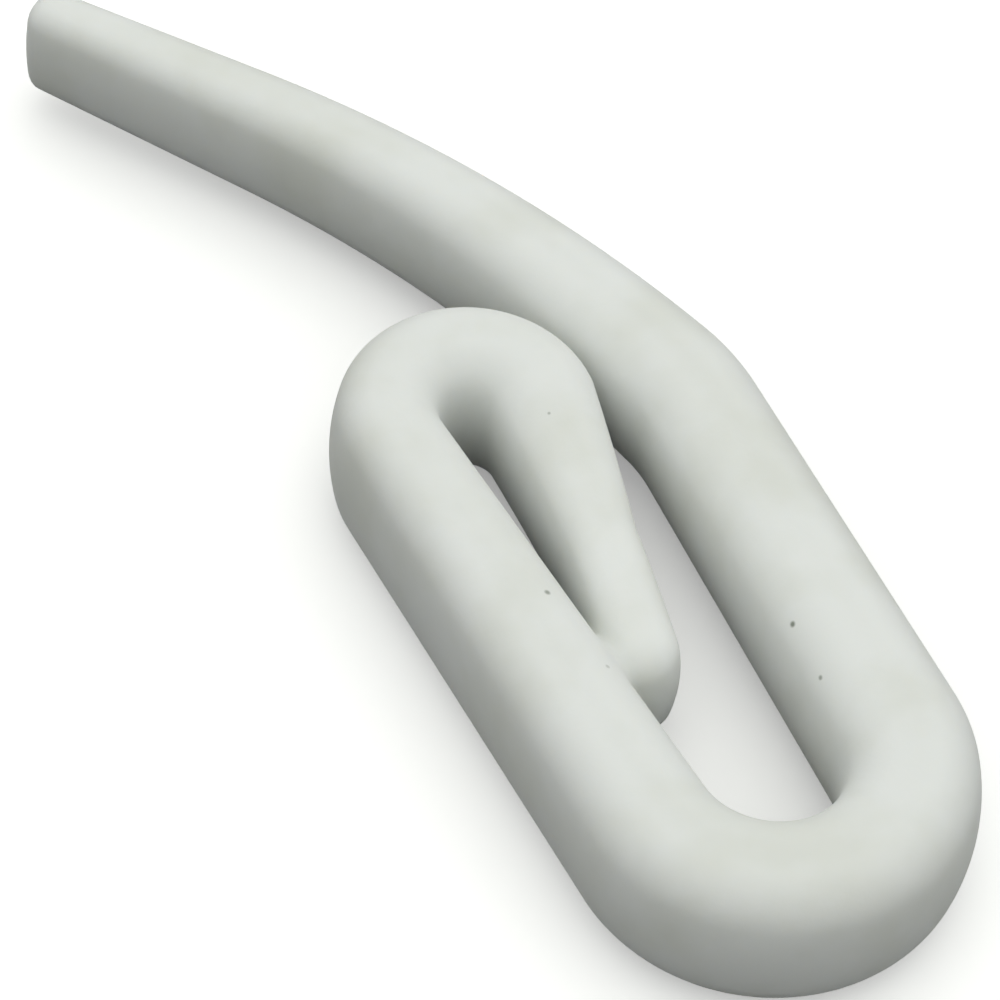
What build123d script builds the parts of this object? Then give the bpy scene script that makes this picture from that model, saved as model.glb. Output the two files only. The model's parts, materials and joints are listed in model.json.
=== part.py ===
"""Closed snail-form curtain hook: one moulded rod, bent in one plane and lying on its side.

Lengths are millimetres and angles are degrees. +X runs along the long leg towards the arm, +Y from
the long leg to the back leg, and +Z is up, square to the plane of the bends. The origin is under
the middle of the hook, on the surface that it lies on.
"""
import os
from math import acos, atan2, cos, degrees, hypot, radians, sin

from build123d import *

# The rod's centreline, from the arm's tip to the short leg's end. Every bend turns the same way.
ARM_STRAIGHT = 7.65
ARM_BOW_RADIUS = 25.1
ARM_BOW_ANGLE = 26.5
SHOULDER_STRAIGHT = 1.04
SHOULDER_RADIUS = 5.05
SHOULDER_ANGLE = 9.4
LONG_LEG = 7.76
HOOK_INSIDE_RADIUS = 1.485
BACK_LEG = 11.1
EYE_INSIDE_RADIUS = 0.17
SHORT_LEG = 8.0

# How the loop closes: the eye end just clears the arm, and the short leg's tip runs into the back leg.
NECK_GAP = 0.12
TIP_OVERLAP = 0.72

# The rod's section: width in the plane of the bends, and height square to it. The rod tapers evenly
# from one of these places to the next, and keeps the loop's section round both tight bends.
ARM_TIP_WIDTH = 1.4
ARM_TIP_HEIGHT = 2.7
BOW_WIDTH = 2.0
BOW_HEIGHT = 3.05
SHOULDER_WIDTH = 2.94
SHOULDER_HEIGHT = 3.62
LOOP_WIDTH = 2.73
LOOP_HEIGHT = 3.89
SHORT_TIP_WIDTH = 1.92
SHORT_TIP_HEIGHT = 2.9
FLANK_BULGE = 0.06          # share of half the width by which a flank stands out at mid height
CROWN_BULGE = 0.04          # share of half the height by which a crown stands out at mid width
CORNER_SHARE = 0.45         # corner radius as a share of the width
NECK_PLACE = 0.78           # share of the bow's length at which the eye end comes nearest to it

# The tips are blunt, with the edge of the end face rounded by at most a share of the tip's width.
ARM_TIP_ROUNDING = 0.4
SHORT_TIP_ROUNDING = 0.6
ROUNDING_LIMIT = 0.32


def rod_outline(width, height):
    """The rounded oval that the rod is moulded to: two bulged flanks, two crowns and round corners."""
    right, top = width / 2, height / 2
    flank_end, crown_end = right * (1 - FLANK_BULGE), top * (1 - CROWN_BULGE)
    flank = ThreePointArc((flank_end, -crown_end), (right, 0), (flank_end, crown_end))
    crown = ThreePointArc((flank_end, crown_end), (0, top), (-flank_end, crown_end))
    sides = [flank, crown, mirror(flank, about=Plane.YZ), mirror(crown, about=Plane.XZ)]
    oval = make_face(sides)
    return fillet(oval.vertices(), CORNER_SHARE * width)


def section(edge, along, size):
    """The rod's section of a given width and height, square to an edge at a share of its length."""
    tangent = edge.tangent_at(along)
    plane = Plane(edge.position_at(along), x_dir=Vector(0, 0, 1).cross(tangent), z_dir=tangent)
    return plane * rod_outline(*size)


def stretch(edges, start_size, end_size):
    """The rod along some edges, from one width and height to another."""
    ends = [section(edges[0], 0, start_size), section(edges[-1], 1, end_size)]
    return sweep(sections=ends, path=Wire(edges), multisection=True)


def bend(edge, radius, angle):
    """A clockwise bend that carries on from an edge's end."""
    return JernArc(edge.position_at(1), edge.tangent_at(1), radius, -angle)


def straight(edge, length):
    """A straight run that carries on from an edge's end."""
    start = edge.position_at(1)
    return Line(start, start + edge.tangent_at(1) * length)


def round_tip(rod, tip, rounding, width):
    """The rod with the edge of the end face nearest to a point rounded."""
    end_face = rod.faces().filter_by(GeomType.PLANE).sort_by_distance(tip)[0]
    return fillet(end_face.edges(), min(rounding, ROUNDING_LIMIT * width))


def back_leg_splay(hook_centre, bow_centre, bow_half_width):
    """Angle between the long leg and the back leg that leaves the neck gap at the arm.

    The eye end's centre swings about the hook bend's centre. It stops where its outside lies the
    gap away from the inside of the arm's bow, so three distances fix the triangle.
    """
    swing = hypot(BACK_LEG, hook_radius - eye_radius)
    lean_of_swing = atan2(hook_radius - eye_radius, BACK_LEG)
    reach = ARM_BOW_RADIUS - bow_half_width - NECK_GAP - (eye_radius + LOOP_WIDTH / 2)
    across = bow_centre - hook_centre
    apart = across.length
    corner = acos((swing**2 + apart**2 - reach**2) / (2 * swing * apart))
    return degrees(atan2(across.Y, across.X) - corner - lean_of_swing)


def short_leg_lean():
    """Angle by which the short leg leans back, so that its tip ends the overlap deep in the back leg."""
    tip_offset = (LOOP_WIDTH + SHORT_TIP_WIDTH) / 2 - TIP_OVERLAP
    reach = hypot(eye_radius, SHORT_LEG)
    return degrees(acos((tip_offset - eye_radius) / reach) - atan2(SHORT_LEG, eye_radius))


hook_radius = HOOK_INSIDE_RADIUS + LOOP_WIDTH / 2
eye_radius = EYE_INSIDE_RADIUS + LOOP_WIDTH / 2

arm_heading = radians(180 + ARM_BOW_ANGLE + SHOULDER_ANGLE)
arm = Line((0, 0), (ARM_STRAIGHT * cos(arm_heading), ARM_STRAIGHT * sin(arm_heading)))
arm_bow = bend(arm, ARM_BOW_RADIUS, ARM_BOW_ANGLE)
shoulder_run = straight(arm_bow, SHOULDER_STRAIGHT)
shoulder = bend(shoulder_run, SHOULDER_RADIUS, SHOULDER_ANGLE)
long_leg = straight(shoulder, LONG_LEG)
hook_centre = long_leg.position_at(1) + Vector(0, hook_radius)
neck_width = BOW_WIDTH + (SHOULDER_WIDTH - BOW_WIDTH) * NECK_PLACE
splay = back_leg_splay(hook_centre, arm_bow.arc_center, neck_width / 2)
hook_bend = bend(long_leg, hook_radius, 180 - splay)
back_leg = straight(hook_bend, BACK_LEG)
eye_bend = bend(back_leg, eye_radius, 180 + short_leg_lean())
short_leg = straight(eye_bend, SHORT_LEG)

arm_tip = (ARM_TIP_WIDTH, ARM_TIP_HEIGHT)
bow_start = (BOW_WIDTH, BOW_HEIGHT)
shoulder_start = (SHOULDER_WIDTH, SHOULDER_HEIGHT)
loop = (LOOP_WIDTH, LOOP_HEIGHT)
short_tip = (SHORT_TIP_WIDTH, SHORT_TIP_HEIGHT)

arm_rod = stretch([arm], arm_tip, bow_start)
arm_rod = round_tip(arm_rod, arm.position_at(0), ARM_TIP_ROUNDING, ARM_TIP_WIDTH)
bow_rod = stretch([arm_bow], bow_start, shoulder_start)
leg_rod = stretch([shoulder_run, shoulder, long_leg], shoulder_start, loop)
hook_rod = stretch([hook_bend], loop, loop)
back_rod = stretch([back_leg], loop, loop)
eye_rod = stretch([eye_bend], loop, loop)
short_rod = stretch([short_leg], loop, short_tip)
short_rod = round_tip(short_rod, short_leg.position_at(1), SHORT_TIP_ROUNDING, SHORT_TIP_WIDTH)
hook = arm_rod + bow_rod + leg_rod + hook_rod + back_rod + eye_rod + short_rod
box = hook.bounding_box()
hook = Pos(-box.center().X, -box.center().Y, -box.min.Z) * hook
hook.label = "curtain_hook"

os.makedirs("parts", exist_ok=True)
export_step(hook, "parts/curtain_hook.step")
print("splay", round(splay, 2), "lean", round(short_leg_lean(), 2), "volume", round(hook.volume, 1))
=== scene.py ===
"""The looks of a closed snail-form curtain hook, moulded in one piece from white nylon.

The hook lies flat on a pale floor under soft overhead light. Sizes are millimetres unless a name or a
docstring says otherwise, and everything reaches Blender in metres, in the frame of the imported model.
"""
import json
import logging
from collections.abc import Mapping
from dataclasses import dataclass, field, replace
from enum import Enum
from math import acos, atan2, cos, hypot, pi, radians, sin

import bpy
import numpy as np
from mathutils import Matrix, Vector
from mathutils.bvhtree import BVHTree


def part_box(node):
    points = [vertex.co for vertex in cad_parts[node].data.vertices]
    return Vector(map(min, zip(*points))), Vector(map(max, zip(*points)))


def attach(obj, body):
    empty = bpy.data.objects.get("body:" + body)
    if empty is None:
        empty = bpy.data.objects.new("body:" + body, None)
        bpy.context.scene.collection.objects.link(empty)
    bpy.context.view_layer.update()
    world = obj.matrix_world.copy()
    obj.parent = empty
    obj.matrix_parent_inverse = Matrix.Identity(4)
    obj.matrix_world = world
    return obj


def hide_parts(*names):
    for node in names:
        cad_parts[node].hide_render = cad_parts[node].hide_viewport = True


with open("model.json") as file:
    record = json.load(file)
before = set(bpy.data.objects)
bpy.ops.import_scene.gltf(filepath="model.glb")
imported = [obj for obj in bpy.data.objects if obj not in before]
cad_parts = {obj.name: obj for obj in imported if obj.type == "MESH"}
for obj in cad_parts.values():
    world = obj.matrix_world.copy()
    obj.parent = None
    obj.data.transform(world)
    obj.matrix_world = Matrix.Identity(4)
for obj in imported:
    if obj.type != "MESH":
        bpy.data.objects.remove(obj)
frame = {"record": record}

METRE = 0.001               # one millimetre in Blender's unit
JUST_BEYOND = 1e-6          # marks a point beyond a bend's end that doesn't lie ahead of that end
WHITE = (1.0, 1.0, 1.0, 1.0)
MIX_SHARE, MIX_FIRST, MIX_SECOND, MIX_RESULT = 0, 6, 7, 2       # sockets of a colour Mix node
log = logging.getLogger("curtain_hook")

Triple = tuple[float, float, float]


def add_node(tree: bpy.types.NodeTree, kind: str, settings: Mapping[str | int, object] | None = None,
             links: Mapping[str | int, bpy.types.NodeSocket] | None = None) -> bpy.types.Node:
    """Adds one node to a tree, sets it and links it.

    Args:
        tree: the node tree.
        kind: the node's type name.
        settings: input names or numbers, or names of the node's own settings, and their values.
        links: input names or numbers, and the output that feeds each.

    Returns:
        The new node.
    """
    made = tree.nodes.new(kind)
    for name, value in (settings or {}).items():
        if isinstance(name, int) or name in made.inputs:
            made.inputs[name].default_value = value
        else:
            setattr(made, name, value)
    for name, source in (links or {}).items():
        tree.links.new(source, made.inputs[name])
    return made


def new_material(name: str) -> bpy.types.Material:
    """Makes a material with an empty node tree.

    Args:
        name: the material's name.

    Returns:
        The material.
    """
    made = bpy.data.materials.new(name)
    made.use_nodes = True
    made.node_tree.nodes.clear()
    return made


def background_rays(tree: bpy.types.NodeTree) -> bpy.types.NodeSocket:
    """Picks the rays that meet a background: camera, glossy and transmission rays.

    Args:
        tree: the node tree of the floor or the sky.

    Returns:
        One for those rays and zero for the light that falls on the hook.
    """
    path = add_node(tree, "ShaderNodeLightPath")
    seen = add_node(tree, "ShaderNodeMath", {"operation": "ADD", "use_clamp": True},
                    {0: path.outputs["Is Camera Ray"], 1: path.outputs["Is Transmission Ray"]})
    shown = add_node(tree, "ShaderNodeMath", {"operation": "ADD", "use_clamp": True},
                     {0: seen.outputs[0], 1: path.outputs["Is Glossy Ray"]})
    return shown.outputs[0]


def linear(srgb: str) -> tuple[float, float, float, float]:
    """Turns an sRGB hex colour into the linear one that shaders take.

    Args:
        srgb: the colour, such as "#dfe2de".

    Returns:
        Linear red, green and blue, and an alpha of one.
    """
    shares = [int(srgb[i:i + 2], 16) / 255 for i in (1, 3, 5)]
    return (*[s / 12.92 if s <= 0.04045 else ((s + 0.055) / 1.055) ** 2.4 for s in shares], 1.0)


def toward(angle: float) -> Vector:
    """Finds the direction of an angle in the plane of the bends.

    Args:
        angle: the angle from +X, in radians.

    Returns:
        The unit vector.
    """
    return Vector((cos(angle), sin(angle)))


@dataclass(frozen=True)
class Section:
    """The rod's cross section: a barrel with bulged flanks, flat crowns and round corners."""

    width: float
    height: float
    flank_bulge: float = 0.26       # share of half the width by which a flank stands out at mid height
    corner_share: float = 0.39      # corner radius as a share of the width

    def blend(self, other: "Section", share: float) -> "Section":
        """Tapers evenly towards another section.

        Args:
            other: the section to taper to.
            share: how far along the taper, from 0 to 1.

        Returns:
            The section there.
        """
        return Section(self.width + (other.width - self.width) * share,
                       self.height + (other.height - self.height) * share)


class Tip(Enum):
    """Which end of a stretch is a free tip of the rod, and so is rounded."""

    NONE = 0
    AT_START = 1
    AT_END = 2


@dataclass(frozen=True)
class Stretch:
    """One straight or evenly bent stretch of the rod, in the plane of the bends."""

    start: Vector
    heading: float
    length: float
    turn: float
    begin: Section
    end: Section
    tip: Tip = Tip.NONE
    rounding: float = 0.0

    @property
    def radius(self) -> float:
        """The bend's radius, of a stretch that isn't straight."""
        return self.length / self.turn

    @property
    def centre(self) -> Vector:
        """The bend's centre. Every bend is clockwise, so it lies to the right of the heading."""
        return self.start + toward(self.heading - pi / 2) * self.radius

    @property
    def last_heading(self) -> float:
        """The heading at the stretch's end."""
        return self.heading - self.turn

    @property
    def last(self) -> Vector:
        """The stretch's end point."""
        if self.turn == 0:
            return self.start + toward(self.heading) * self.length
        return self.centre + toward(self.last_heading + pi / 2) * self.radius

    def local(self, x: np.ndarray, y: np.ndarray) -> tuple[np.ndarray, np.ndarray, np.ndarray]:
        """Where points lie along and beside the stretch.

        Args:
            x, y: the points, in the plane of the bends.

        Returns:
            The distance along the centreline, the offset beside it, and how far beyond an end the
            point lies, which is negative before the start and positive after the end.
        """
        if self.turn == 0:
            ahead, left = toward(self.heading), toward(self.heading + pi / 2)
            run = (x - self.start.x) * ahead.x + (y - self.start.y) * ahead.y
            side = (x - self.start.x) * left.x + (y - self.start.y) * left.y
            beyond = np.where(run < 0, run, np.maximum(run - self.length, 0))
            return np.clip(run, 0, self.length), side, beyond
        out = np.hypot(x - self.centre.x, y - self.centre.y)
        bearing = np.arctan2(y - self.centre.y, x - self.centre.x)
        swept = np.mod(self.heading + pi / 2 - bearing, 2 * pi)
        spare = 2 * pi - self.turn
        run = np.where(swept <= self.turn, swept, np.where(swept < self.turn + spare / 2, self.turn, 0))
        side = out - self.radius
        beyond = np.zeros_like(out)
        for angle, heading, point, sign in ((0, self.heading, self.start, -1),
                                            (self.turn, self.last_heading, self.last, 1)):
            past = (swept > self.turn) & (run == angle)
            ahead, left = toward(heading), toward(heading + pi / 2)
            reach = (x - point.x) * ahead.x + (y - point.y) * ahead.y
            across = (x - point.x) * left.x + (y - point.y) * left.y
            beyond = np.where(past, np.where(reach * sign > 0, reach, sign * JUST_BEYOND), beyond)
            side = np.where(past, across, side)
        return run * self.radius, side, beyond

    def distance(self, x: np.ndarray, y: np.ndarray, z: np.ndarray) -> np.ndarray:
        """Signed distance from points to the stretch's surface, negative inside.

        Args:
            x, y, z: the points, with z measured from the middle of the rod.

        Returns:
            The distances.
        """
        run, side, beyond = self.local(x, y)
        flat = self.section_distance(run / self.length, side, z)
        plain = np.where(beyond != 0, np.hypot(np.maximum(flat, 0), beyond), flat)
        if self.tip is Tip.NONE:
            return plain
        at_start = self.tip is Tip.AT_START
        along = -(run + beyond) if at_start else run + beyond - self.length
        inset_side, inset_end = flat + self.rounding, along + self.rounding
        capped = (np.hypot(np.maximum(inset_side, 0), np.maximum(inset_end, 0))
                  + np.minimum(np.maximum(inset_side, inset_end), 0) - self.rounding)
        return np.where(beyond > 0 if at_start else beyond < 0, plain, capped)

    def section_distance(self, share: np.ndarray, side: np.ndarray, z: np.ndarray) -> np.ndarray:
        """Signed distance from points to the outline of the section that they lie in.

        Args:
            share: how far along the stretch each section is, from 0 to 1.
            side, z: the points, seen from the section's middle.

        Returns:
            The distances, negative inside.
        """
        half_width = (self.begin.width + (self.end.width - self.begin.width) * share) / 2
        half_height = (self.begin.height + (self.end.height - self.begin.height) * share) / 2
        corner = 2 * half_width * self.begin.corner_share
        stand_out = half_width * self.begin.flank_bulge
        flank_radius = (stand_out**2 + half_height**2) / (2 * stand_out)
        core_height = half_height - corner
        flank_offset = flank_radius - half_width
        core_width = np.sqrt((flank_radius - corner) ** 2 - core_height**2) - flank_offset
        u, v = np.abs(side), np.abs(z)
        to_flank = np.hypot(u + flank_offset, v) - (flank_radius - corner)
        to_crown = v - core_height
        past_corner = ((u > core_width) & (v > core_height)
                       & (v * (core_width + flank_offset) > core_height * (u + flank_offset)))
        to_corner = np.hypot(u - core_width, v - core_height)
        return np.where(past_corner, to_corner, np.maximum(to_flank, to_crown)) - corner


@dataclass
class Hook:
    """The moulded hook: its sizes, the rod's centreline and the surface round it."""

    # The centreline, from the arm's tip to the short leg's end. Every bend turns the same way.
    arm_straight: float = 5.9
    arm_bow_radius: float = 32.8
    arm_bow_angle: float = radians(21.0)
    shoulder_radius: float = 4.83
    shoulder_angle: float = radians(16.1)
    long_leg: float = 9.14
    hook_inside_radius: float = 1.47
    back_leg: float = 10.93
    eye_inside_radius: float = 0.55
    short_leg: float = 7.73
    short_leg_bow: float = radians(5.0)
    short_waist_place: float = 0.5  # share of the short leg at which it has its waist's section

    # How the loop closes: at the arm, and where the short leg's tip runs into the back leg.
    neck_gap: float = 0.1
    neck_place: float = 0.84        # share of the bow's taper at which the eye end comes nearest
    tip_overlap: float = 0.38

    # The rod's width and height from place to place, and the free tips.
    arm_tip: Section = Section(1.44, 2.67)
    bow: Section = Section(1.89, 3.04)
    shoulder: Section = Section(2.82, 3.6)
    loop: Section = Section(2.97, 3.89)
    eye: Section = Section(2.45, 3.89)
    short_waist: Section = Section(1.72, 3.0)
    short_tip: Section = Section(1.7, 2.9)
    arm_tip_rounding: float = 0.4
    short_tip_rounding: float = 0.8

    # The fillet that fills the crease between the short leg and the back leg, widest at the tip.
    weld: float = 0.5
    weld_start: float = 0.02        # share of the short leg up to which it stays narrowest
    weld_growth: float = 1.5        # power of that share by which it widens

    bend_offset: tuple[float, float] = (0.237, 0.139)   # big bend's centre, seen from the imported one's
    probe: float = 0.004            # half the span over which the surface's slope is taken
    hook_radius: float = field(init=False)
    eye_radius: float = field(init=False)
    middle: float = field(init=False)
    stretches: list[Stretch] = field(init=False)

    def __post_init__(self) -> None:
        """Finds the centreline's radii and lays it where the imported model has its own."""
        self.hook_radius = self.hook_inside_radius + self.loop.width / 2
        self.eye_radius = self.eye_inside_radius + self.eye.width / 2
        seat = next(m for m in frame["record"]["mounts"] if m["name"] == "hook_seat")
        low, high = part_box("curtain_hook")
        self.middle = (low[2] + high[2]) / 2 / METRE
        self.stretches = self.lay(Vector(seat["pos_m"][:2]) / METRE + Vector(self.bend_offset))

    def back_leg_splay(self, across: Vector) -> float:
        """Splays the back leg from the long leg so that the neck gap is left at the arm.

        Args:
            across: the arm bow's centre, seen from the hook bend's centre.

        Returns:
            The angle in radians.
        """
        swing = hypot(self.back_leg, self.hook_radius - self.eye_radius)
        lean_of_swing = atan2(self.hook_radius - self.eye_radius, self.back_leg)
        neck_width = self.bow.blend(self.shoulder, self.neck_place).width
        reach = (self.arm_bow_radius - neck_width / 2 - self.neck_gap
                 - self.eye_radius - self.eye.width / 2)
        apart = across.length
        corner = acos((swing**2 + apart**2 - reach**2) / (2 * swing * apart))
        return atan2(across.y, across.x) - corner - lean_of_swing

    def short_leg_lean(self) -> float:
        """Leans the short leg back so that its tip ends the overlap deep in the back leg.

        Returns:
            The angle in radians.
        """
        beside = self.eye.blend(self.loop, self.short_leg / self.back_leg)
        tip_offset = (beside.width + self.short_tip.width) / 2 - self.tip_overlap
        reach = hypot(self.eye_radius, self.short_leg)
        return acos((tip_offset - self.eye_radius) / reach) - atan2(self.short_leg, self.eye_radius)

    def lay(self, seat: Vector) -> list[Stretch]:
        """Lays the rod's stretches from the arm's tip to the short leg's end.

        Args:
            seat: where the middle of the big bend goes.

        Returns:
            The stretches in order.
        """
        heading = pi + self.arm_bow_angle + self.shoulder_angle
        plan = [(self.arm_straight, 0.0, self.arm_tip, self.bow),
                (self.arm_bow_radius * self.arm_bow_angle, self.arm_bow_angle, self.bow, self.shoulder),
                (self.shoulder_radius * self.shoulder_angle, self.shoulder_angle,
                 self.shoulder, self.shoulder),
                (self.long_leg, 0.0, self.shoulder, self.loop)]
        start, laid = Vector((0, 0)), []
        for length, turn, begin, end in plan:
            tip = Tip.NONE if laid else Tip.AT_START
            laid.append(Stretch(start, heading, length, turn, begin, end, tip, self.arm_tip_rounding))
            start, heading = laid[-1].last, laid[-1].last_heading
        hook_centre = start + Vector((0, self.hook_radius))
        splay = self.back_leg_splay(laid[1].centre - hook_centre)
        eye_turn = pi + self.short_leg_lean() - self.short_leg_bow / 2
        waist = self.short_waist_place
        plan = [(self.hook_radius * (pi - splay), pi - splay, self.loop, self.loop),
                (self.back_leg, 0.0, self.loop, self.eye),
                (self.eye_radius * eye_turn, eye_turn, self.eye, self.eye),
                (self.short_leg * waist, self.short_leg_bow * waist, self.eye, self.short_waist),
                (self.short_leg * (1 - waist), self.short_leg_bow * (1 - waist),
                 self.short_waist, self.short_tip)]
        for length, turn, begin, end in plan:
            tip = Tip.AT_END if end is self.short_tip else Tip.NONE
            laid.append(Stretch(start, heading, length, turn, begin, end, tip, self.short_tip_rounding))
            start, heading = laid[-1].last, laid[-1].last_heading
        shift = seat - hook_centre
        return [replace(part, start=part.start + shift) for part in laid]

    def distance(self, points: np.ndarray) -> np.ndarray:
        """Signed distance from points to the hook's surface, negative inside.

        Args:
            points: an array whose last axis holds x, y and z.

        Returns:
            The distances.
        """
        x, y, z = points[..., 0], points[..., 1], points[..., 2] - self.middle
        rod = np.full(x.shape, np.inf)
        for part in self.stretches[:-2]:
            rod = np.minimum(rod, part.distance(x, y, z))
        upper, lower = self.stretches[-2:]
        leg = np.minimum(upper.distance(x, y, z), lower.distance(x, y, z))
        share = (upper.local(x, y)[0] + lower.local(x, y)[0]) / self.short_leg
        filled = self.weld * np.clip(share, self.weld_start, 1) ** self.weld_growth
        near = np.maximum(filled - np.abs(rod - leg), 0) / filled
        return np.minimum(rod, leg) - near**2 * filled / 4

    def slope(self, points: np.ndarray) -> np.ndarray:
        """The signed distance's gradient, by central differences.

        Args:
            points: an array whose last axis holds x, y and z.

        Returns:
            The gradient at each point.
        """
        steps = np.eye(3) * self.probe
        return np.stack([self.distance(points + step) - self.distance(points - step) for step in steps],
                        axis=-1) / (2 * self.probe)


@dataclass
class SkinMesh:
    """A mesh of quads drawn over a shape that is given by its signed distance."""

    shape: Hook
    pitch: float = 0.12             # spacing of the grid
    neck_pitch: float = 0.03        # spacing where the eye end comes near to the arm
    neck_reach: float = 0.4         # how far to each side of the neck that spacing goes
    margin: float = 2.5             # how many spacings of grid lie beyond the shape's box
    rounds: int = 5                 # how often the points are put back on the surface
    even_rounds: int = 3            # in how many of these rounds they are first evened out
    evening: float = 0.6            # share of the way to its neighbours' mean that a point moves
    least_slope: float = 0.25       # lower limit of the squared slope, where the field has a crease

    def planes(self, low: float, high: float, tight: float | None = None) -> np.ndarray:
        """Sets grid planes between two places.

        Args:
            low, high: the places.
            tight: a place round which the planes are closer together.

        Returns:
            The planes' places in order.
        """
        if tight is None:
            return np.linspace(low, high, int((high - low) / self.pitch) + 2)
        first, second = tight - self.neck_reach, tight + self.neck_reach
        return np.concatenate([np.linspace(low, first, int((first - low) / self.pitch) + 2)[:-1],
                               np.arange(first, second, self.neck_pitch),
                               np.linspace(second, high, int((high - second) / self.pitch) + 2)])

    def grid(self) -> np.ndarray:
        """Sets the grid of points round the shape.

        Returns:
            An array with three axes of points and one of x, y and z.
        """
        shape = self.shape
        low, high = (np.array(corner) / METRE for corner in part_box("curtain_hook"))
        margin = self.margin * self.pitch
        eye, bow = shape.stretches[-3], shape.stretches[1]
        way = (eye.centre - bow.centre).normalized()
        neck = eye.centre + way * (shape.eye_radius + shape.eye.width / 2 + shape.neck_gap / 2)
        axes = [self.planes(low[0] - margin, high[0] + margin),
                self.planes(low[1] - margin, high[1] + margin, neck.y),
                self.planes(low[2] - margin, high[2] + margin)]
        return np.stack(np.meshgrid(*axes, indexing="ij"), axis=-1)

    def crossed_edges(self, inside: np.ndarray, axis: int) -> np.ndarray:
        """Finds the grid edges along one axis that the surface crosses.

        Args:
            inside: whether each grid point lies inside the shape.
            axis: the axis that the edges follow.

        Returns:
            The grid numbers of each such edge's first end, without edges on the grid's outside.
        """
        before, after = [slice(None)] * 3, [slice(None)] * 3
        before[axis], after[axis] = slice(0, -1), slice(1, None)
        crossed = np.argwhere(inside[tuple(before)] != inside[tuple(after)])
        for other in ((axis + 1) % 3, (axis + 2) % 3):
            number = crossed[:, other]
            crossed = crossed[(number > 0) & (number < inside.shape[other] - 1)]
        return crossed

    def trace(self) -> tuple[np.ndarray, np.ndarray]:
        """Draws the skin with one point in each grid cell that the surface passes through.

        Returns:
            The points, and four point numbers for each quad.
        """
        grid = self.grid()
        value = self.shape.distance(grid)
        inside = value < 0
        cells = np.array(value.shape) - 1
        total = np.zeros((int(np.prod(cells)), 3))
        count = np.zeros(len(total))
        quads = []
        for axis in range(3):
            crossed = self.crossed_edges(inside, axis)
            after = crossed.copy()
            after[:, axis] += 1
            first, second = value[tuple(crossed.T)], value[tuple(after.T)]
            share = (first / (first - second))[:, None]
            place = grid[tuple(crossed.T)] * (1 - share) + grid[tuple(after.T)] * share
            ring = []
            for back_next, back_last in ((1, 1), (0, 1), (0, 0), (1, 0)):
                cell = crossed.copy()
                cell[:, (axis + 1) % 3] -= back_next
                cell[:, (axis + 2) % 3] -= back_last
                flat = np.ravel_multi_index(tuple(cell.T), tuple(cells))
                ring.append(flat)
                for k in range(3):
                    total[:, k] += np.bincount(flat, place[:, k], len(total))
                count += np.bincount(flat, minlength=len(total))
            ring = np.stack(ring, axis=1)
            outward = inside[tuple(crossed.T)]
            quads.append(np.where(outward[:, None], ring, ring[:, ::-1]))
        used = np.flatnonzero(count)
        number = np.full(len(total), -1)
        number[used] = np.arange(len(used))
        points = total[used] / count[used][:, None]
        return self.settle(points, number[np.concatenate(quads)])

    def settle(self, points: np.ndarray, quads: np.ndarray) -> tuple[np.ndarray, np.ndarray]:
        """Evens the points out along the surface and puts them exactly on it.

        Args:
            points: the points, each with x, y and z.
            quads: four point numbers for each quad.

        Returns:
            The settled points, and the quads as they were.
        """
        ends = np.concatenate([quads[:, [i, (i + 1) % 4]] for i in range(4)])
        degree = np.bincount(ends[:, 0], minlength=len(points))[:, None]
        for done in range(self.rounds):
            if done < self.even_rounds:
                mean = np.stack([np.bincount(ends[:, 0], points[ends[:, 1], k], len(points))
                                 for k in range(3)], axis=1) / degree
                normal = self.shape.slope(points)
                normal /= np.linalg.norm(normal, axis=1, keepdims=True)
                move = mean - points
                along_normal = normal * np.sum(move * normal, axis=1, keepdims=True)
                points = points + self.evening * (move - along_normal)
            slope = self.shape.slope(points)
            step = self.shape.distance(points) / np.maximum(np.sum(slope**2, axis=1), self.least_slope)
            points = points - slope * np.clip(step, -self.pitch, self.pitch)[:, None]
        return points, quads

    def build(self, name: str) -> bpy.types.Object:
        """Makes a Blender object of the skin, in metres.

        Args:
            name: the object's name.

        Returns:
            The object, linked to the scene.
        """
        points, quads = self.trace()
        mesh = bpy.data.meshes.new(name)
        mesh.from_pydata((points * METRE).tolist(), [], quads.tolist())
        mesh.polygons.foreach_set("use_smooth", [True] * len(quads))
        mesh.update()
        made = bpy.data.objects.new(name, mesh)
        bpy.context.scene.collection.objects.link(made)
        log.info("%s: %d points, %d quads", name, len(points), len(quads))
        return made


@dataclass(frozen=True)
class Speck:
    """One dark inclusion in the skin."""

    place: Triple               # a point near it, from which it is set on the nearest skin
    radius: float
    strength: float             # share of the speck's own colour in its middle


@dataclass(frozen=True)
class Mottle:
    """A noise with features of one size and a number of finer layers."""

    size: float
    layers: float

    def add(self, tree: bpy.types.NodeTree, place: bpy.types.NodeSocket) -> bpy.types.NodeSocket:
        """Adds the noise to a material.

        Args:
            tree: the material's nodes.
            place: the position on the piece, in metres.

        Returns:
            The noise, from 0 to 1.
        """
        made = add_node(tree, "ShaderNodeTexNoise", {
            "Scale": 1 / (self.size * METRE), "Detail": self.layers}, {"Vector": place})
        return made.outputs["Fac"]


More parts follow.
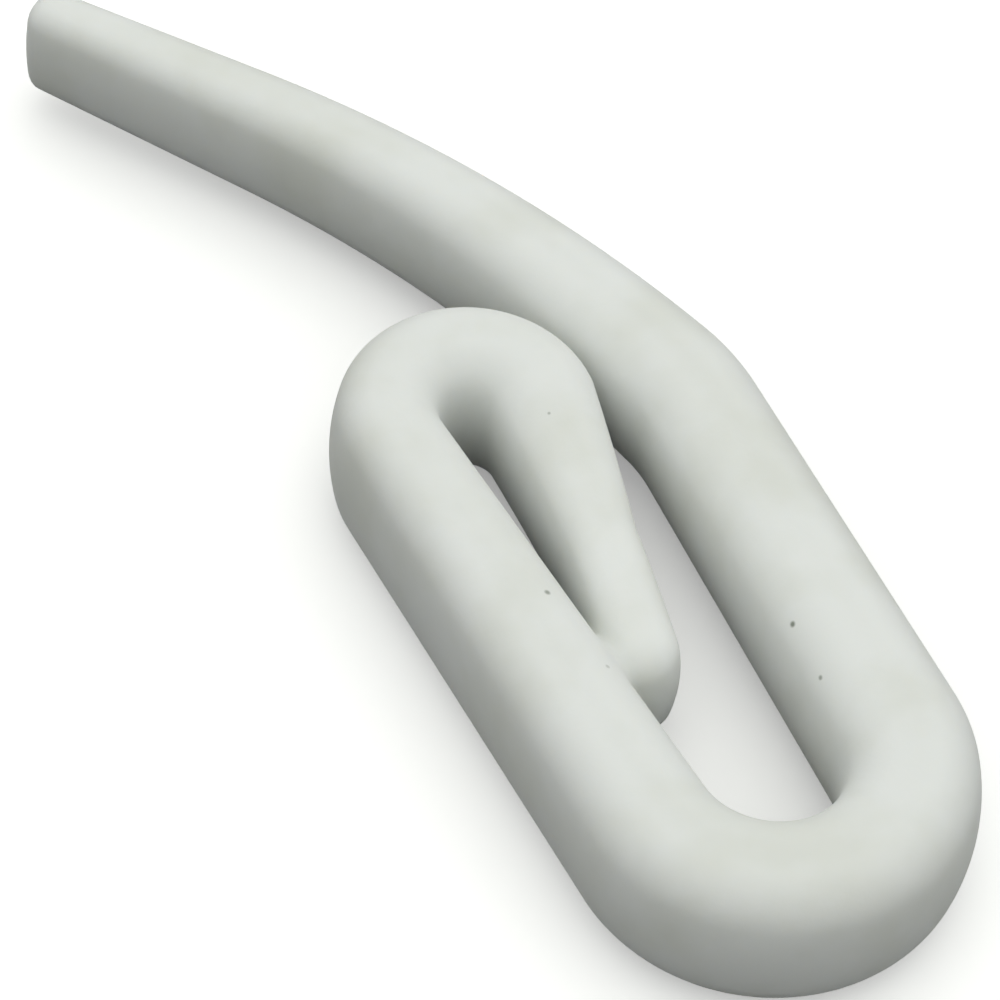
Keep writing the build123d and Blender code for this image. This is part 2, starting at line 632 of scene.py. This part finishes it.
@dataclass(frozen=True)
class MouldedNylon:
    """Natural white nylon 6, injection moulded: a dull skin, milky just under the surface."""

    colour: str = "#e4e6e3"         # cool white of the undyed resin, which most of the skin shows
    cloud_colour: str = "#dddfd9"   # slightly warmer, where the resin cooled more slowly
    clouds: Mottle = Mottle(2.4, 3.0)
    cloud_limits: tuple[float, float] = (0.42, 0.68)    # noise at which a cloud starts and is full
    speck_colour: str = "#7d8377"   # burnt resin and dust pressed into the skin
    speck_core: float = 0.3         # share of a speck's radius within which it is at its darkest
    speck_fade: float = 1.3         # share of its radius at which it has faded out
    specks: tuple[Speck, ...] = (
        Speck((-5.75, 1.69, 3.8), 0.075, 0.75), Speck((-8.2, -2.55, 3.7), 0.075, 0.9),
        Speck((-9.64, -2.34, 3.7), 0.06, 0.7), Speck((-7.92, 1.26, 3.8), 0.06, 0.35),
        Speck((-1.31, -0.42, 3.85), 0.04, 0.5), Speck((-1.77, 1.53, 3.5), 0.05, 0.4))

    roughness: float = 0.66         # the mould's etched finish, which leaves no clear highlight
    sheen_level: float = 0.2        # a dull skin mirrors less than polished nylon
    ior: float = 1.53
    glow_share: float = 0.6         # light that goes in and comes out again, which softens the shade
    glow_depth: float = 1.0         # how far it spreads under the skin
    glow_spread: Triple = (1.0, 0.95, 0.85)             # red goes furthest and blue least

    peel: Mottle = Mottle(0.9, 1.0)     # the slow waviness of a skin that shrank as it cooled
    peel_depth: float = 0.012
    grain: Mottle = Mottle(0.16, 4.0)   # the fine tooth of the etched mould
    grain_depth: float = 0.0035

    def clouded(self, tree: bpy.types.NodeTree, place: bpy.types.NodeSocket) -> bpy.types.NodeSocket:
        """Mixes the two whites.

        Args:
            tree: the material's nodes.
            place: the position on the piece, in metres.

        Returns:
            The colour without its specks.
        """
        start, full = self.cloud_limits
        cloud = add_node(tree, "ShaderNodeMapRange", {"From Min": start, "From Max": full},
                         {"Value": self.clouds.add(tree, place)})
        tint = add_node(tree, "ShaderNodeMix", {"data_type": "RGBA", MIX_FIRST: linear(self.colour),
                                                MIX_SECOND: linear(self.cloud_colour)},
                        {MIX_SHARE: cloud.outputs["Result"]})
        return tint.outputs[MIX_RESULT]

    def stained(self, tree: bpy.types.NodeTree, place: bpy.types.NodeSocket, piece: bpy.types.Object,
                colour: bpy.types.NodeSocket) -> bpy.types.NodeSocket:
        """Lays the specks over the white.

        Args:
            tree: the material's nodes.
            place: the position on the piece, in metres.
            piece: the moulding, on whose skin the specks are set.
            colour: the white.

        Returns:
            The colour with its specks.
        """
        skin = BVHTree.FromPolygons([vertex.co for vertex in piece.data.vertices],
                                    [face.vertices for face in piece.data.polygons])
        for speck in self.specks:
            middle = tuple(skin.find_nearest(Vector(speck.place) * METRE)[0])
            away = add_node(tree, "ShaderNodeVectorMath", {"operation": "DISTANCE", 1: middle}, {0: place})
            spot = add_node(tree, "ShaderNodeMapRange", {
                "interpolation_type": "SMOOTHSTEP", "From Min": speck.radius * self.speck_core * METRE,
                "From Max": speck.radius * self.speck_fade * METRE, "To Min": speck.strength,
                "To Max": 0.0}, {"Value": away.outputs["Value"]})
            mixed = add_node(tree, "ShaderNodeMix", {
                "data_type": "RGBA", MIX_SECOND: linear(self.speck_colour)},
                {MIX_SHARE: spot.outputs["Result"], MIX_FIRST: colour})
            colour = mixed.outputs[MIX_RESULT]
        return colour

    def relief(self, tree: bpy.types.NodeTree, place: bpy.types.NodeSocket) -> bpy.types.NodeSocket:
        """Lays the grain over the waviness, both too shallow to show in outline.

        Args:
            tree: the material's nodes.
            place: the position on the piece, in metres.

        Returns:
            The surface's normal.
        """
        peel = add_node(tree, "ShaderNodeBump", {"Strength": 1.0, "Distance": self.peel_depth * METRE},
                        {"Height": self.peel.add(tree, place)})
        grain = add_node(tree, "ShaderNodeBump", {"Strength": 1.0, "Distance": self.grain_depth * METRE},
                         {"Height": self.grain.add(tree, place), "Normal": peel.outputs["Normal"]})
        return grain.outputs["Normal"]

    def material(self, piece: bpy.types.Object) -> bpy.types.Material:
        """Makes the nylon's material.

        Args:
            piece: the moulding that wears it.

        Returns:
            The material.
        """
        made = new_material("moulded_nylon")
        tree = made.node_tree
        place = add_node(tree, "ShaderNodeTexCoord").outputs["Object"]
        white = self.clouded(tree, place)
        shader = add_node(tree, "ShaderNodeBsdfPrincipled", {
            "Roughness": self.roughness, "IOR": self.ior, "Specular IOR Level": self.sheen_level,
            "Subsurface Weight": self.glow_share, "Subsurface Scale": self.glow_depth * METRE,
            "Subsurface Radius": self.glow_spread},
            {"Base Color": self.stained(tree, place, piece, white), "Normal": self.relief(tree, place)})
        add_node(tree, "ShaderNodeOutputMaterial", links={"Surface": shader.outputs["BSDF"]})
        return made


@dataclass(frozen=True)
class PaintedBoard:
    """Matt white painted board: an even pale ground on which the hook's soft shadow shows."""

    colour: str = "#f4f4f2"         # what the camera and reflections see
    bounce: str = "#141c17"         # what the hook is lit by from below: a ground that sends little back
    glow: float = 0.3               # lifts the ground to white where it is seen or mirrored

    def material(self) -> bpy.types.Material:
        """Makes the board's material.

        Returns:
            The material.
        """
        made = new_material("painted_board")
        tree = made.node_tree
        pale = add_node(tree, "ShaderNodeBsdfDiffuse", {"Color": linear(self.colour)})
        glow = add_node(tree, "ShaderNodeEmission", {"Color": WHITE, "Strength": self.glow})
        bright = add_node(tree, "ShaderNodeAddShader", links={0: pale.outputs[0], 1: glow.outputs[0]})
        dull = add_node(tree, "ShaderNodeBsdfDiffuse", {"Color": linear(self.bounce)})
        mixed = add_node(tree, "ShaderNodeMixShader", links={
            0: background_rays(tree), 1: dull.outputs[0], 2: bright.outputs[0]})
        add_node(tree, "ShaderNodeOutputMaterial", links={"Surface": mixed.outputs[0]})
        return made


@dataclass(frozen=True)
class Sky:
    """The soft light from all round, strongest overhead, in front of a white background."""

    colour: str = "#fdfffd"
    horizon_glow: float = 0.12
    zenith_glow: float = 0.93
    full_glow_height: float = 0.5   # height, as a share of the dome's, from which it is at full glow

    def hang(self) -> None:
        """Puts the sky round the scene."""
        world = bpy.data.worlds.new("sky")
        bpy.context.scene.world = world
        world.use_nodes = True
        tree = world.node_tree
        tree.nodes.clear()
        way = add_node(tree, "ShaderNodeTexCoord")
        height = add_node(tree, "ShaderNodeSeparateXYZ", links={0: way.outputs["Generated"]})
        glow = add_node(tree, "ShaderNodeMapRange", {
            "From Max": self.full_glow_height, "To Min": self.horizon_glow, "To Max": self.zenith_glow},
            {"Value": height.outputs["Z"]})
        soft = add_node(tree, "ShaderNodeBackground", {"Color": linear(self.colour)},
                        {"Strength": glow.outputs["Result"]})
        white = add_node(tree, "ShaderNodeBackground", {"Color": WHITE, "Strength": 1.0})
        mixed = add_node(tree, "ShaderNodeMixShader", links={
            0: background_rays(tree), 1: soft.outputs[0], 2: white.outputs[0]})
        add_node(tree, "ShaderNodeOutputWorld", links={"Surface": mixed.outputs[0]})


@dataclass(frozen=True)
class Softbox:
    """One square soft lamp that points at the hook."""

    name: str = "overhead_softbox"
    place: Triple = (40.0, -60.0, 330.0)
    size: float = 260.0
    power: float = 0.12             # in watts
    colour: str = "#fffefa"

    def hang(self) -> None:
        """Adds the lamp to the scene."""
        data = bpy.data.lights.new(self.name, "AREA")
        data.size, data.energy, data.color = self.size * METRE, self.power, linear(self.colour)[:3]
        made = bpy.data.objects.new(self.name, data)
        made.location = Vector(self.place) * METRE
        made.rotation_euler = (-made.location).to_track_quat("-Z", "Y").to_euler()
        bpy.context.scene.collection.objects.link(made)


@dataclass(frozen=True)
class View:
    """The camera, at the angle from which the hook is known."""

    target: Triple = (-1.797, 0.849, 1.945)
    bearing: float = radians(151.355)
    elevation: float = radians(51.121)
    roll: float = radians(5.098)
    distance: float = 112.457
    lens: float = 186.5
    sensor: float = 36.0
    clip: tuple[float, float] = (1.0, 4000.0)

    def place(self) -> None:
        """Adds the camera and makes it the scene's own."""
        level = cos(self.elevation)
        back = Vector((level * cos(self.bearing), level * sin(self.bearing), sin(self.elevation)))
        right = Vector((0, 0, 1)).cross(back).normalized()
        up = back.cross(right)
        right, up = (right * cos(self.roll) + up * sin(self.roll),
                     up * cos(self.roll) - right * sin(self.roll))
        data = bpy.data.cameras.new("camera")
        data.lens, data.sensor_width = self.lens, self.sensor
        data.clip_start, data.clip_end = (reach * METRE for reach in self.clip)
        made = bpy.data.objects.new("camera", data)
        stand = (Vector(self.target) + back * self.distance) * METRE
        made.matrix_world = Matrix.Translation(stand) @ Matrix((right, up, back)).transposed().to_4x4()
        bpy.context.scene.collection.objects.link(made)
        bpy.context.scene.camera = made


@dataclass(frozen=True)
class Studio:
    """The pale floor, the soft light and the camera."""

    board: PaintedBoard = PaintedBoard()
    board_reach: float = 900.0      # how far the floor goes to each side of the hook
    softbox: Softbox = Softbox()
    sky: Sky = Sky()
    view: View = View()

    def floor(self) -> bpy.types.Object:
        """Lays the floor under the hook.

        Returns:
            The floor's object, linked to the scene.
        """
        reach = self.board_reach * METRE
        mesh = bpy.data.meshes.new("floor")
        mesh.from_pydata([(-reach, -reach, 0), (reach, -reach, 0), (reach, reach, 0), (-reach, reach, 0)],
                         [], [(0, 1, 2, 3)])
        mesh.materials.append(self.board.material())
        made = bpy.data.objects.new("floor", mesh)
        bpy.context.scene.collection.objects.link(made)
        log.info("floor: %.0f mm to each side", self.board_reach)
        return made

    def set_up(self) -> None:
        """Lays the floor, hangs the lights and places the camera."""
        self.floor()
        self.softbox.hang()
        self.sky.hang()
        self.view.place()


def main() -> None:
    """Builds the hook, dresses it and sets the studio up round it."""
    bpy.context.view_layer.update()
    hook = SkinMesh(Hook()).build("hook_moulding")
    hook.data.materials.append(MouldedNylon().material(hook))
    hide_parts("curtain_hook")
    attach(hook, "root")
    Studio().set_up()
    bpy.context.scene.view_settings.view_transform = "Standard"


if __name__ == "__main__":
    logging.basicConfig(level=logging.INFO)
    main()
